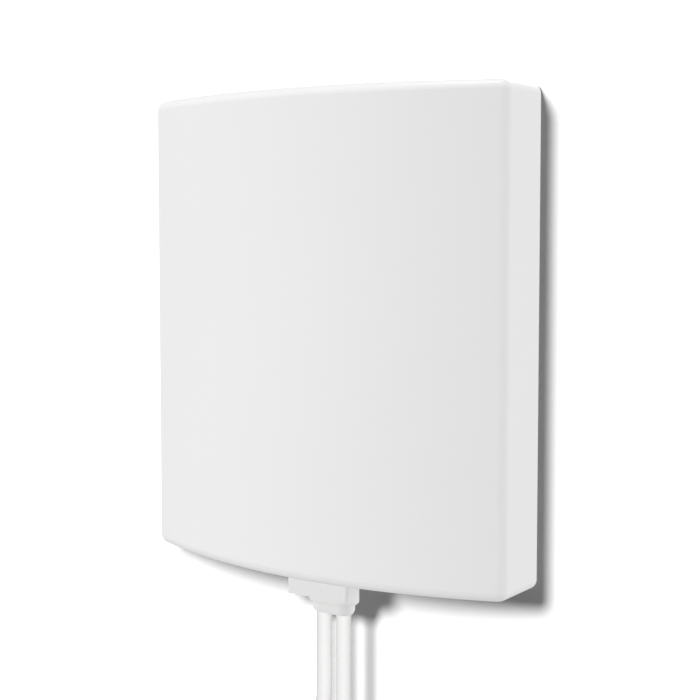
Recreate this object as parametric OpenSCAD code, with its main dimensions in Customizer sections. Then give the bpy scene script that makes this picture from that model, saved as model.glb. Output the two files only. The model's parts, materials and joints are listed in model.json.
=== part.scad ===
// Flat dual-lead panel antenna: a crowned cover over a stacked patch radiator, a rear cover for
// a wall or bracket, a grommet with two coax leads, and a coupling plug on each lead.
// Millimetres. The origin is the centre of the rear face, +Z is up, the front faces -Y and the
// wall lies at y = 0. "Left" and "right" are as seen from the front.

/* [Panel] */
// Width of the front cover
panel_w = 170; // [165:1:180]
// Height of the front cover
panel_h = 190; // [186:1:210]
// Depth of the flat side walls
side_d = 25; // [24:0.5:28]
// How far the middle of the front stands ahead of its side edges
crown_d = 18; // [16:0.5:20]
// Wall thickness of the front cover
wall = 2.2; // [1.8:0.1:2.6]
// Radius of the upright edges between the front and the sides
edge_r = 5; // [4.5:0.1:6]
// Radius around the top, bottom and corners
rim_r = 4; // [3.5:0.1:4.4]

/* [Cable outlet] */
// Width of the outlet block under the panel
block_w = 29.8; // [28:0.2:34]
// How far the outlet block reaches below the panel
block_drop = 11.2; // [10.6:0.2:13]
// Distance from the wall to the cable axes
cable_y = 13.2; // [13.2:0.1:13.5]
// Distance between the two cable axes
cable_pitch = 9.7; // [9.5:0.1:9.8]
// Diameter of the cable jacket
cable_d = 6.2; // [6:0.1:6.2]

/* [Rear fixing] */
// Spacing of the four threaded inserts, across and up
insert_pitch = 50; // [40:1:60]
// Core diameter of the M5 thread in the inserts
insert_core_d = 4.2; // [4:0.1:4.4]

/* [Radiator] */
// Width of the reflector plate
reflector_w = 140; // [120:1:142]
// Height of the reflector plate
reflector_h = 160; // [150:1:162]
// Side of the driven patch
driven_w = 96; // [80:1:100]
// Side of the parasitic patch
parasitic_w = 78; // [70:1:84]

/* [Hidden] */
$fn = 48;
LEFT = -1;
RIGHT = 1;
half_w = panel_w / 2;
half_h = panel_h / 2;
past = 1;           // how far a cutter runs past the face that it opens
slice = 0.01;       // a thin slice or overlap
rim_steps = 6;      // facets across the rounding of the panel's rim

// Front cover: the crown is an arc across the width, tangent to the rounded upright edges.
crown_r = (half_w * half_w + crown_d * crown_d) / (2 * crown_d);
crown_cy = crown_r - side_d - crown_d;
edge_x = half_w - edge_r;
edge_y = crown_cy - sqrt(pow(crown_r - edge_r, 2) - edge_x * edge_x);
edge_a = asin(edge_x / (crown_r - edge_r));
seat_w = 2.4;       // width of the ledge that the seal lies on
seat_y = -5.8;      // the ledge's rear face
seat_t = 2.2;

// Rear cover
plate_t = 3;
plate_gap = 0.25;   // between the rear plate and the skirt around it
pad_y = -5;         // where the screw pads meet the front cover's bosses
boss_r = 3.4;
pad_r = 4.2;
self_tap_r = 1.25;
rib_t = 1.8;
rib_y = -7;
screw_x = half_w - 9;
screw_z = half_h - 9;
screw_mid_x = 24;
COVER_SCREWS = [
    for (sx = [-1, 1], sz = [-1, 0, 1]) [sx * screw_x, sz * screw_z],
    for (sx = [-1, 1], sz = [-1, 1]) [sx * screw_mid_x, sz * screw_z]
];
cover_screw_end = -16;
head_r = 2.9;
head_h = 1.9;
head_y = -2.6;      // seat of the cover screws' heads
sink_r = 3.2;
insert_r = 3.5;
insert_len = 8.5;
insert_boss_r = 6;

// Outlet block and grommet
block_front = -side_d;
block_back = -16.6; // rear of the block's wide front part
block_bottom = -(half_h + block_drop);
block_wall = 2;
block_floor = 2.2;
block_r = 1.2;
throat_x = 10.4;    // half width of the block's narrow rear part
throat_wall = 1.2;
throat_back = -7;
throat_back_wall = 1.7;
throat_r = 4.6;
split_y = -cable_y;
cable_r = cable_d / 2;
cable_x = cable_pitch / 2;
rim_span = 5.2;     // half length of the straight sides of the grommet's outer rim
rim_end_r = 6;
rim_len = 3.9;      // the grommet's outer rim, below the block
rim_edge_r = 1;
step_span = 4.9;
step_end_r = 4.6;
step_len = 2.1;
dome_end_r = 3.5;
dome_len = 2.3;
neck_end_r = 3.7;   // the grommet's neck where the block's floor grips it
lip_end_r = 4.3;
lip_len = 2;        // the grommet's inner lip, above the block's floor
exit_z = block_bottom - rim_len - step_len - dome_len;

// Cable clamp, just inside the panel's bottom
clamp_w = 32;
clamp_z0 = -(half_h - 5);
clamp_h = 8;
clamp_screw_x = 12.2;
clamp_gap = 0.8;    // between the cradle and the clamp, across the cables' middle
cradle_y = -cable_y + clamp_gap / 2;
clamp_front = -19.5;

// Radiator stack, from the wall forwards
reflector_y = -10;
reflector_t = 1;
reflector_front = reflector_y - reflector_t;
flange_h = 6;
notch_w = 38;
notch_z = -73.5;    // the reflector is cut away below this, around the cables
reflector_screw_x = 58;
reflector_screw_z = 68;
board_w = 112;
board_h = 120;
board_t = 1.6;
board_y = -16;      // the board's rear face
board_front = board_y - board_t;
standoff_x = 50;
standoff_z = 52;
spacer_x = 30;
spacer_r = 3.5;
driven_y = -23;     // rear faces of the two patches
parasitic_y = -32;
patch_t = 1;
m3_r = 1.5;
m3_hole_r = 1.6;
m3_head_r = 2.75;
m3_head_h = 2;
hex_af = 5.5;
feed_x = 17;
feed_z = -17;
feed_r = 0.8;
track_t = 0.15;
track_w = 3;
track_z = -36;

// Coax ends inside the panel
jacket_top = -74;
braid_r = 2.2;
braid_top = -66;
core_r = 1.9;
core_top = -62;
wire_r = 0.9;
wire_z = -57;
wire_hole_r = 1;
shield_z = -72;
shield_h = 5;
shield_front = -17.4;
shield_screw_x = 11;

// Coils: two layers each, the left cable's in front of the right cable's
coil_inner_r = 30.7;    // centre-line of the innermost turn
coil_turns = 3.333;     // in each layer
coil_drop = 112.7;      // from the cable exit down to the coil's centre
coil_pitch = cable_d;
coil_outer_r = coil_inner_r + coil_pitch * coil_turns;
coil_z = exit_z - coil_drop;
coil_skin = 0.2;    // room around the outermost and innermost turns
coil_back = -1.5;   // rear face of the rear coil
coil_depth = 2 * cable_d;

// Routes of the cables where they are not coiled, from the exit point: x outwards, y, z
LEAD_RIGHT = [
    [0, 0, 0], [0, 0, -15], [0, 0, -28], [0, 0.1, -36], [0.7, 0.5, -42],
    [2.4, 1.1, -48], [5.4, 1.7, -54], [9.3, 2.1, -59], [14.6, 2.3, -64], [20.83, 2.4, -68.2]
];
LEAD_LEFT = [
    [0, 0, 0], [0, 0, -15], [0, 0, -28], [0, -0.3, -36], [0.7, -1.4, -42],
    [2.4, -2.6, -48], [5.4, -3.5, -54], [9.3, -3.85, -59], [14.6, -3.85, -64], [20.83, -3.8, -68.2]
];
TAIL_RIGHT = [
    [46.5, 8.6, -112.7], [46.5, 8.4, -126], [46.5, 7.7, -140], [46.5, 7.1, -153],
    [46.5, 7.1, -168], [46.5, 7.1, -184], [46.5, 7.1, -200]
];
TAIL_LEFT = [
    [46.5, -10, -112.7], [46.5, -10, -130], [46.5, -10, -147], [46.5, -10, -165],
    [46.5, -10, -183], [46.5, -10, -200]
];
TUBE_SIDES = 10;

// Hook-and-loop ties around both coils
tie_w = 12;
tie_t = 1;
tie_r = 2;

// Plug on each tail, measured down from the tail's end
boot_len = 22;
boot_r = 3.9;
boot_end_r = 4.2;
ferrule_r = 3.8;
ferrule_len = 3;
collar_af = 8;
collar_len = 4;
neck_r = 3.2;
neck_len = 2;
tube_r = 2.3;       // outer conductor
tube_bore_r = 2.05;
pin_r = 0.46;
pin_root_r = 0.635; // inside the insulator
nut_af = 8;
nut_len = 8.5;
nut_gap = 0.2;
nut_collar_len = 2;
nut_collar_r = tube_r + 0.05;
nut_bore_r = 2.83;
mate_len = 2.2;     // from the mating plane to the nut's mouth
ring_t = 0.5;
ring_r = 2.6;
ring_groove_r = 2.1;
plug_x = cable_x + TAIL_LEFT[0][0];
boot_z = exit_z + TAIL_LEFT[5][2];
ferrule_z = boot_z - boot_len;
collar_z = ferrule_z - ferrule_len;
neck_z = collar_z - collar_len;
nut_z = neck_z - neck_len - nut_gap;
mouth_z = nut_z - nut_len;
mate_z = mouth_z + mate_len;
ring_z = nut_z - nut_collar_len - nut_gap;

function tail_y(side) = -cable_y + (side == RIGHT ? TAIL_RIGHT[6][1] : TAIL_LEFT[5][1]);
function arc(cx, cy, r, a0, a1, steps) =
    [for (i = [0:steps]) let (a = a0 + (a1 - a0) * i / steps) [cx + r * sin(a), cy - r * cos(a)]];

// The panel's plan outline, drawn in by "inset" all round except at the rear
function plan(inset, rear) =
    let (crown = arc(0, crown_cy, crown_r - inset, -edge_a, edge_a, 36), last = len(crown) - 1)
    concat(
        [[-(half_w - inset), rear]],
        arc(-edge_x, edge_y, edge_r - inset, -90, -edge_a, 6),
        [for (i = [1:last - 1]) crown[i]],
        arc(edge_x, edge_y, edge_r - inset, edge_a, 90, 6),
        [[half_w - inset, rear]]
    );

// A ring of points square to the route at point i
function along(route, i) =
    let (last = len(route) - 1, d = route[min(i + 1, last)] - route[max(i - 1, 0)]) d / norm(d);
function ring(route, i, r) =
    let (t = along(route, i), u = cross([0, 1, 0], t) / norm(cross([0, 1, 0], t)), v = cross(t, u))
    [for (j = [0:TUBE_SIDES - 1])
        let (a = 360 * j / TUBE_SIDES) route[i] + r * (cos(a) * u + sin(a) * v)];

// A closed solid through a stack of rings that all have the same number of points
module skin(rings) {
    n = len(rings[0]);
    last = len(rings) - 1;
    sides = [for (i = [0:last - 1], j = [0:n - 1])
        let (k = (j + 1) % n) each [
            [i * n + k, i * n + j, (i + 1) * n + k],
            [(i + 1) * n + k, i * n + j, (i + 1) * n + j]
        ]];
    caps = [[for (j = [0:n - 1]) j], [for (j = [n - 1:-1:0]) last * n + j]];
    polyhedron([for (r = rings) each r], concat(sides, caps), convexity = 4);
}

module tube(route, r) {
    skin([for (i = [0:len(route) - 1]) ring(route, i, r)]);
}

// Places a route that is given from the cable's exit
function placed(route, side) = [for (p = route) [side * (cable_x + p[0]), p[1] - cable_y, exit_z + p[2]]];

// A shape drawn in x and z, from y_front back to y_back
module slab(y_front, y_back) {
    translate([0, y_back, 0]) rotate([90, 0, 0]) linear_extrude(y_back - y_front) children();
}

module rod(x, z, r, y_front, y_back, sides = $fn) {
    translate([x, y_back, z]) rotate([90, 0, 0]) cylinder(r = r, h = y_back - y_front, $fn = sides);
}

// An upright rod, from z_bottom up to z_top
module post(x, y, r, z_bottom, z_top, sides = $fn) {
    translate([x, y, z_bottom]) cylinder(r = r, h = z_top - z_bottom, $fn = sides);
}

module outline(inset) {
    r = max(rim_r - inset, 0.6);
    x = half_w - inset - r;
    z = half_h - inset - r;
    square([2 * x, 2 * (z + r)], center = true);
    square([2 * (x + r), 2 * z], center = true);
    for (sx = [-1, 1], sz = [-1, 1]) translate([sx * x, sz * z]) circle(r);
}

// A screw along y: its head lies behind the seat when "back" is true, and ahead of it otherwise
module screw(x, z, seat, tip, shank_r, head_r, head_h, back = false) {
    slot_w = 0.7;
    slot_d = 0.8;
    out = back ? seat + head_h : seat - head_h;
    difference() {
        union() {
            rod(x, z, head_r, min(seat, out), max(seat, out));
            rod(x, z, shank_r, min(seat, tip), max(seat, tip));
        }
        for (turn = [0, 90])
            translate([x, out, z]) rotate([0, turn, 0])
                cube([2 * head_r * 0.65, 2 * slot_d, slot_w], center = true);
    }
}

// ---- Covers ----

// The panel's outer form, drawn in by "inset" all round except at the rear
module panel_solid(inset, rear) {
    r = rim_r - inset;
    z = half_h - inset - r;
    angles = [for (i = [0:rim_steps]) 90 * i / rim_steps];
    low = [for (i = [rim_steps:-1:0]) [-z - r * sin(angles[i]), angles[i]]];
    high = [for (i = [0:rim_steps]) [z + r * sin(angles[i]), angles[i]]];
    skin([for (level = concat(low, high))
        [for (p = plan(inset + r * (1 - cos(level[1])), rear)) [p[0], p[1], level[0]]]]);
}

// Plan of the outlet block ahead of the split: a wide front part and a narrower throat behind it
module block_front_plan(inset, throat) {
    r = max(block_r - inset, 0.3);
    x = block_w / 2 - inset;
    y = block_front + inset;
    back = block_back - inset;
    translate([-x, y + r]) square([2 * x, back - y - r]);
    translate([-x + r, y]) square([2 * (x - r), back - y]);
    for (s = [-1, 1]) translate([s * (x - r), y + r]) circle(r);
    translate([-throat, y + r]) square([2 * throat, split_y - y - r]);
}

// Plan of the throat behind the split, with rounded rear corners
module throat_rear_plan() {
    difference() {
        union() {
            translate([-throat_x, split_y]) square([2 * throat_x, throat_back - throat_r - split_y]);
            translate([-throat_x + throat_r, split_y])
                square([2 * (throat_x - throat_r), throat_back - split_y]);
            for (s = [-1, 1])
                translate([s * (throat_x - throat_r), throat_back - throat_r]) circle(throat_r);
        }
        translate([-block_w / 2, split_y - 2 * throat_r]) square([block_w, 2 * throat_r]);
    }
}

module stadium(half_span, r, z_bottom, z_top) {
    translate([0, -cable_y, z_bottom]) linear_extrude(z_top - z_bottom) {
        square([2 * half_span, 2 * r], center = true);
        for (s = [-1, 1]) translate([s * half_span, 0]) circle(r);
    }
}

module front_cover() {
    notch = 2 * (throat_x + plate_gap);
    color("white") difference() {
        union() {
            difference() {
                panel_solid(0, 0);
                panel_solid(wall, past);
            }
            intersection() {
                union()
                    for (p = COVER_SCREWS) {
                        rod(p[0], p[1], boss_r, -side_d - crown_d, pad_y);
                        if (abs(p[0]) == screw_x)
                            translate([p[0] > 0 ? p[0] : -half_w, -side_d - crown_d, p[1] - rib_t / 2])
                                cube([half_w - screw_x, crown_d + side_d + pad_y - seat_t, rib_t]);
                    }
                panel_solid(wall / 2, past);
            }
            slab(seat_y - seat_t, seat_y) difference() {
                outline(wall / 2);
                outline(wall + seat_w);
            }
            translate([0, 0, block_bottom])
                linear_extrude(block_drop + wall) block_front_plan(0, throat_x);
        }
        for (p = COVER_SCREWS) rod(p[0], p[1], self_tap_r, cover_screw_end - 0.2, pad_y + past);
        translate([0, 0, block_bottom + block_floor])
            linear_extrude(block_drop + wall + seat_w)
                block_front_plan(block_wall, throat_x - throat_wall);
        translate([-notch / 2, split_y, block_bottom - past])
            cube([notch, cable_y + past, block_drop + wall + seat_w + 2 * past]);
        stadium(cable_x, neck_end_r, block_bottom - past, block_bottom + block_floor + past);
    }
}

module rear_plate() {
    slab(-plate_t, 0) outline(wall + plate_gap);
    for (p = COVER_SCREWS) rod(p[0], p[1], pad_r, pad_y, -plate_t);
    for (s = [-1, 1]) {
        for (x = [insert_pitch / 2, reflector_screw_x])
            translate([s * x - rib_t / 2, rib_y, -screw_z + pad_r + 1])
                cube([rib_t, -rib_y - plate_t / 2, 2 * (screw_z - pad_r - 1)]);
        for (z = [insert_pitch / 2, reflector_screw_z])
            translate([-screw_x + pad_r + 1, rib_y, s * z - rib_t / 2])
                cube([2 * (screw_x - pad_r - 1), -rib_y - plate_t / 2, rib_t]);
        for (t = [-1, 1]) {
            rod(s * insert_pitch / 2, t * insert_pitch / 2, insert_boss_r,
                -insert_len - 1.3, -plate_t / 2);
            rod(s * reflector_screw_x, t * reflector_screw_z, 4, reflector_y, -plate_t / 2);
        }
    }
}

module rear_cover() {
    throat_lap = wall + plate_gap + block_wall;
    throat_in = throat_x - throat_wall;
    color("whitesmoke") difference() {
        union() {
            rear_plate();
            translate([0, 0, block_bottom]) linear_extrude(block_drop + throat_lap) throat_rear_plan();
            translate([-throat_x, split_y, -half_h]) cube([2 * throat_x, cable_y, throat_lap]);
            translate([-clamp_w / 2, cradle_y, clamp_z0])
                cube([clamp_w, -cradle_y - plate_t / 2, clamp_h]);
        }
        translate([-throat_in, split_y - past, block_bottom + block_floor])
            cube([2 * throat_in, throat_back - throat_back_wall - split_y + past,
                clamp_z0 - block_bottom - block_floor]);
        stadium(cable_x, neck_end_r, block_bottom - past, block_bottom + block_floor + past);
        for (s = [-1, 1]) {
            post(s * cable_x, -cable_y, cable_r, clamp_z0 - past, clamp_z0 + clamp_h + past);
            rod(s * clamp_screw_x, clamp_z0 + clamp_h / 2, self_tap_r, cradle_y - past, -plate_t);
            for (t = [-1, 1]) {
                rod(s * insert_pitch / 2, t * insert_pitch / 2, insert_r, -insert_len, past);
                rod(s * reflector_screw_x, t * reflector_screw_z, self_tap_r,
                    reflector_y - past, -plate_t);
            }
        }
        for (p = COVER_SCREWS) {
            rod(p[0], p[1], sink_r, head_y, past);
            rod(p[0], p[1], m3_hole_r, pad_y - past, past);
        }
    }
}

module cover_seal() {
    gap_w = clamp_w + 1;
    color("dimgray") slab(seat_y, -plate_t) difference() {
        outline(wall + 0.4);
        outline(wall + seat_w);
        translate([-gap_w / 2, -half_h]) square([gap_w, half_h / 2]);
    }
}

module cover_screws() {
    color("silver")
        for (p = COVER_SCREWS)
            screw(p[0], p[1], head_y, cover_screw_end, self_tap_r, head_r, head_h, back = true);
}

module bracket_inserts() {
    groove = 0.6;
    color("goldenrod")
        for (sx = [-1, 1], sz = [-1, 1])
            translate([sx * insert_pitch / 2, 0, sz * insert_pitch / 2]) rotate([90, 0, 0])
                difference() {
                    cylinder(r = insert_r, h = insert_len);
                    translate([0, 0, -past]) cylinder(d = insert_core_d, h = insert_len + 2 * past);
                    translate([0, 0, insert_len / 2]) rotate_extrude()
                        translate([insert_r - groove, -groove]) square([1, 2 * groove]);
                }
}

// ---- Cable outlet ----

module cable_grommet() {
    rim_bottom = block_bottom - rim_len;
    floor_top = block_bottom + block_floor;
    color("white") difference() {
        union() {
            hull() {
                stadium(rim_span, rim_end_r, rim_bottom + rim_edge_r, block_bottom);
                stadium(rim_span, rim_end_r - rim_edge_r, rim_bottom, block_bottom);
            }
            stadium(cable_x, neck_end_r, rim_bottom, floor_top);
            stadium(cable_x, lip_end_r, floor_top, floor_top + lip_len);
            stadium(step_span, step_end_r, exit_z + dome_len, rim_bottom + slice);
            hull()
                for (s = [-1, 1]) {
                    post(s * step_span, -cable_y, step_end_r, exit_z + dome_len - slice, exit_z + dome_len);
                    post(s * cable_x, -cable_y, dome_end_r, exit_z, exit_z + slice);
                }
        }
        for (s = [-1, 1]) post(s * cable_x, -cable_y, cable_r, exit_z - past, floor_top + lip_len + past);
    }
}

module cable_clamp() {
    color("whitesmoke") difference() {
        translate([-clamp_w / 2, clamp_front, clamp_z0])
            cube([clamp_w, cradle_y - clamp_gap - clamp_front, clamp_h]);
        for (s = [-1, 1]) {
            post(s * cable_x, -cable_y, cable_r, clamp_z0 - past, clamp_z0 + clamp_h + past);
            rod(s * clamp_screw_x, clamp_z0 + clamp_h / 2, m3_hole_r, clamp_front - past, 0);
        }
    }
}

module clamp_screws() {
    color("silver")
        for (s = [-1, 1])
            screw(s * clamp_screw_x, clamp_z0 + clamp_h / 2, clamp_front, -plate_t - 1,
                self_tap_r, m3_head_r, m3_head_h);
}

// ---- Radiator ----

module reflector_plate() {
    w = reflector_w;
    h = reflector_h;
    t = reflector_t;
    color("lightgray") difference() {
        translate([-w / 2, reflector_front - flange_h, -h / 2]) cube([w, flange_h + t, h]);
        translate([-w / 2 + t, reflector_front - flange_h - past, -h / 2 + t])
            cube([w - 2 * t, flange_h + past, h - 2 * t]);
        translate([-notch_w / 2, reflector_front - flange_h - past, -h / 2 - past])
            cube([notch_w, flange_h + t + 2 * past, notch_z + h / 2 + past]);
        for (s = [-1, 1]) {
            rod(s * shield_screw_x, shield_z + shield_h / 2, self_tap_r,
                reflector_front - past, reflector_y + past);
            for (u = [-1, 1]) {
                rod(s * reflector_screw_x, u * reflector_screw_z, m3_hole_r,
                    reflector_front - past, reflector_y + past);
                rod(s * standoff_x, u * standoff_z, m3_r, reflector_front - past, reflector_y + past);
            }
        }
    }
}

module reflector_screws() {
    color("silver")
        for (sx = [-1, 1], sz = [-1, 1])
            screw(sx * reflector_screw_x, sz * reflector_screw_z, reflector_front, -plate_t - 1,
                self_tap_r, m3_head_r, m3_head_h);
}

module hex_rod(x, z, af, y_front, y_back) {
    rod(x, z, af / 2 / cos(30), y_front, y_back, 6);
}

// Snap-in standoffs: a hex pillar ahead of the reflector and a barb behind it
module board_standoffs() {
    barb_r = 2.4;
    barb_t = 0.8;
    color("ivory")
        for (sx = [-1, 1], sz = [-1, 1])
            difference() {
                union() {
                    hex_rod(sx * standoff_x, sz * standoff_z, hex_af, board_y, reflector_front);
                    rod(sx * standoff_x, sz * standoff_z, m3_r, reflector_front - slice, reflector_y);
                    rod(sx * standoff_x, sz * standoff_z, barb_r, reflector_y, reflector_y + barb_t);
                }
                rod(sx * standoff_x, sz * standoff_z, self_tap_r, board_y - past, reflector_front - 1);
            }
}

module feed_board() {
    color("darkgreen") difference() {
        translate([-board_w / 2, board_front, -board_h / 2]) cube([board_w, board_t, board_h]);
        for (s = [-1, 1]) {
            rod(s * cable_x, wire_z, wire_hole_r, board_front - past, board_y + past);
            rod(s * feed_x, feed_z, feed_r, board_front - past, board_y + past);
            for (u = [-1, 1]) {
                rod(s * standoff_x, u * standoff_z, m3_r, board_front - past, board_y + past);
                rod(s * spacer_x, u * spacer_x, m3_r, board_front - past, board_y + past);
            }
        }
    }
}

// Microstrip lines from each coax centre wire to its feed pin
module feed_lines() {
    color("chocolate") slab(board_front - track_t, board_front)
        for (s = [-1, 1])
            difference() {
                union() {
                    translate([s * cable_x - track_w / 2, wire_z]) square([track_w, track_z - wire_z]);
                    translate([s > 0 ? cable_x - track_w / 2 : -feed_x - track_w / 2, track_z])
                        square([feed_x - cable_x + track_w, track_w]);
                    translate([s * feed_x - track_w / 2, track_z]) square([track_w, feed_z - track_z]);
                    translate([s * cable_x, wire_z]) circle(2.2);
                    translate([s * feed_x, feed_z]) circle(2.5);
                }
                translate([s * cable_x, wire_z]) circle(wire_hole_r);
                translate([s * feed_x, feed_z]) circle(feed_r);
            }
}

module board_screws() {
    color("silver")
        for (sx = [-1, 1], sz = [-1, 1])
            screw(sx * standoff_x, sz * standoff_z, board_front, board_y + 3,
                self_tap_r, m3_head_r, m3_head_h);
}

module spacers(y_front, y_back) {
    color("ivory")
        for (sx = [-1, 1], sz = [-1, 1])
            difference() {
                rod(sx * spacer_x, sz * spacer_x, spacer_r, y_front, y_back);
                rod(sx * spacer_x, sz * spacer_x, m3_hole_r, y_front - past, y_back + past);
            }
}

module rear_spacers() {
    spacers(driven_y, board_front);
}

module front_spacers() {
    spacers(parasitic_y, driven_y - patch_t);
}

module patch(side, y) {
    difference() {
        translate([-side / 2, y - patch_t, -side / 2]) cube([side, patch_t, side]);
        for (sx = [-1, 1], sz = [-1, 1])
            rod(sx * spacer_x, sz * spacer_x, m3_r, y - patch_t - past, y + past);
    }
}

module driven_patch() {
    color("silver") difference() {
        patch(driven_w, driven_y);
        for (s = [-1, 1]) rod(s * feed_x, feed_z, feed_r, driven_y - patch_t - past, driven_y + past);
    }
}

module parasitic_patch() {
    color("silver") patch(parasitic_w, parasitic_y);
}

module patch_screws() {
    color("ivory")
        for (sx = [-1, 1], sz = [-1, 1])
            screw(sx * spacer_x, sz * spacer_x, parasitic_y - patch_t, board_y + 2.8,
                m3_r, m3_head_r, m3_head_h);
}

module patch_nuts() {
    nut_t = 2.4;
    color("ivory")
        for (sx = [-1, 1], sz = [-1, 1])
            difference() {
                hex_rod(sx * spacer_x, sz * spacer_x, hex_af, board_y, board_y + nut_t);
                rod(sx * spacer_x, sz * spacer_x, m3_r, board_y - past, board_y + nut_t + past);
            }
}

module feed_pins() {
    color("goldenrod")
        for (s = [-1, 1]) rod(s * feed_x, feed_z, feed_r, driven_y - patch_t - 0.4, board_y + 0.5);
}

module shield_clamp() {
    w = 28;
    color("goldenrod") difference() {
        translate([-w / 2, shield_front, shield_z]) cube([w, reflector_front - shield_front, shield_h]);
        for (s = [-1, 1]) {
            post(s * cable_x, -cable_y, braid_r, shield_z - past, shield_z + shield_h + past);
            translate([s * cable_x - braid_r, -cable_y, shield_z - past])
                cube([2 * braid_r, cable_y, shield_h + 2 * past]);
            rod(s * shield_screw_x, shield_z + shield_h / 2, self_tap_r, shield_front - past, 0);
        }
    }
}

module shield_screws() {
    color("silver")
        for (s = [-1, 1])
            screw(s * shield_screw_x, shield_z + shield_h / 2, shield_front, reflector_y + 1,
                self_tap_r, 2.2, 1.6);
}

// ---- Cables ----

// The jacket between the grommet's mouth and the stripped end
module inlet(side) {
    color("white") post(side * cable_x, -cable_y, cable_r, exit_z, jacket_top);
}

// Braid, dielectric and centre wire of a stripped cable end
module core(side) {
    x = side * cable_x;
    color("peru") {
        post(x, -cable_y, braid_r, jacket_top, braid_top);
        post(x, -cable_y, core_r, braid_top, core_top);
        post(x, -cable_y, wire_r, core_top, wire_z + wire_r);
        rod(x, wire_z, wire_r, board_front - 0.8, -cable_y);
    }
}

module lead(side) {
    color("white") tube(placed(side == RIGHT ? LEAD_RIGHT : LEAD_LEFT, side), cable_r);
}

module tail(side) {
    color("white") tube(placed(side == RIGHT ? TAIL_RIGHT : TAIL_LEFT, side), cable_r);
}

// The outer shape of one cable's coil: a flat ring with rounded corners, its axis along y
module coil(side) {
    rear = side == RIGHT ? coil_back : coil_back - coil_depth;
    r0 = coil_inner_r - cable_r - coil_skin;
    r1 = coil_outer_r + cable_r + coil_skin;
    corner = 3;
    color("white") translate([0, rear, coil_z]) rotate([90, 0, 0]) rotate_extrude($fn = 96) {
        translate([r0, corner]) square([r1 - r0, coil_depth - 2 * corner]);
        translate([r0 + corner, 0]) square([r1 - r0 - 2 * corner, coil_depth]);
        for (r = [r0 + corner, r1 - corner], z = [corner, coil_depth - corner])
            translate([r, z]) circle(corner);
    }
}

// A flat strap looped once around both coils, above or below the coils' centre
module coil_tie(up) {
    r0 = coil_inner_r - cable_r - 1.2;
    r1 = coil_outer_r + cable_r + coil_skin + 0.1;
    y0 = coil_back - 2 * coil_depth;
    y1 = coil_back;
    color("darkslategray") translate([-tie_w / 2, 0, coil_z]) mirror([0, 0, up ? 0 : 1])
        rotate([90, 0, 90]) linear_extrude(tie_w) difference() {
            strap_outline(y0 - tie_t, y1 + tie_t, r0 - tie_t, r1 + tie_t, tie_r + tie_t);
            strap_outline(y0, y1, r0, r1, tie_r);
        }
}

module strap_outline(y0, y1, z0, z1, r) {
    translate([y0 + r, z0]) square([y1 - y0 - 2 * r, z1 - z0]);
    translate([y0, z0 + r]) square([y1 - y0, z1 - z0 - 2 * r]);
    for (y = [y0 + r, y1 - r], z = [z0 + r, z1 - r]) translate([y, z]) circle(r);
}

// ---- Plugs ----

module at_plug(side, z) {
    translate([side * plug_x, tail_y(side), z]) children();
}

// Heat-shrink sleeve over the end of the jacket and the crimp
module boot(side) {
    color("dimgray") at_plug(side, ferrule_z) cylinder(r1 = boot_end_r, r2 = boot_r, h = boot_len);
}

module plug_body(side) {
    color("gold") at_plug(side, 0) difference() {
        union() {
            translate([0, 0, collar_z]) cylinder(r = ferrule_r, h = ferrule_len);
            translate([0, 0, neck_z]) cylinder(r = collar_af / 2 / cos(30), h = collar_len, $fn = 6);
            translate([0, 0, neck_z - neck_len]) cylinder(r = neck_r, h = neck_len);
            translate([0, 0, mate_z]) cylinder(r = tube_r, h = neck_z - neck_len - mate_z);
        }
        translate([0, 0, mate_z - past]) cylinder(r = tube_bore_r, h = collar_z - 2 - mate_z + past);
        translate([0, 0, ring_z - ring_t]) difference() {
            cylinder(r = tube_r + past, h = ring_t);
            translate([0, 0, -past]) cylinder(r = ring_groove_r + 0.05, h = ring_t + 2 * past);
        }
    }
}

module plug_insulator(side) {
    top = collar_z - 2;
    color("white") at_plug(side, mate_z) difference() {
        cylinder(r = tube_bore_r, h = top - mate_z);
        translate([0, 0, -past]) cylinder(r = pin_root_r, h = top - mate_z + 2 * past);
    }
}

module plug_pin(side) {
    tip = 0.4;
    z0 = mouth_z + 0.3;
    color("gold") at_plug(side, 0) {
        translate([0, 0, mate_z]) cylinder(r = pin_root_r, h = collar_z - 2 - mate_z);
        translate([0, 0, z0 + tip]) cylinder(r = pin_r, h = mate_z - z0 - tip);
        translate([0, 0, z0]) cylinder(r1 = pin_r / 2, r2 = pin_r, h = tip);
    }
}

// Open spring ring in the body's groove, which keeps the nut on
module nut_ring(side) {
    gap_w = 0.8;
    color("silver") at_plug(side, ring_z - ring_t) difference() {
        cylinder(r = ring_r, h = ring_t);
        translate([0, 0, -past]) cylinder(r = ring_groove_r + 0.05, h = ring_t + 2 * past);
        translate([0, -gap_w / 2, -past]) cube([2 * ring_r, gap_w, ring_t + 2 * past]);
    }
}

module coupling_nut(side) {
    rim = 1;
    rim_nut_r = 3.7;
    color("gold") at_plug(side, mouth_z) difference() {
        union() {
            translate([0, 0, rim]) cylinder(r = nut_af / 2 / cos(30), h = nut_len - rim, $fn = 6);
            cylinder(r = rim_nut_r, h = nut_len);
        }
        translate([0, 0, -past]) cylinder(r = nut_bore_r, h = nut_len - nut_collar_len + past);
        cylinder(r = nut_collar_r, h = nut_len + past);
    }
}

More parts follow.
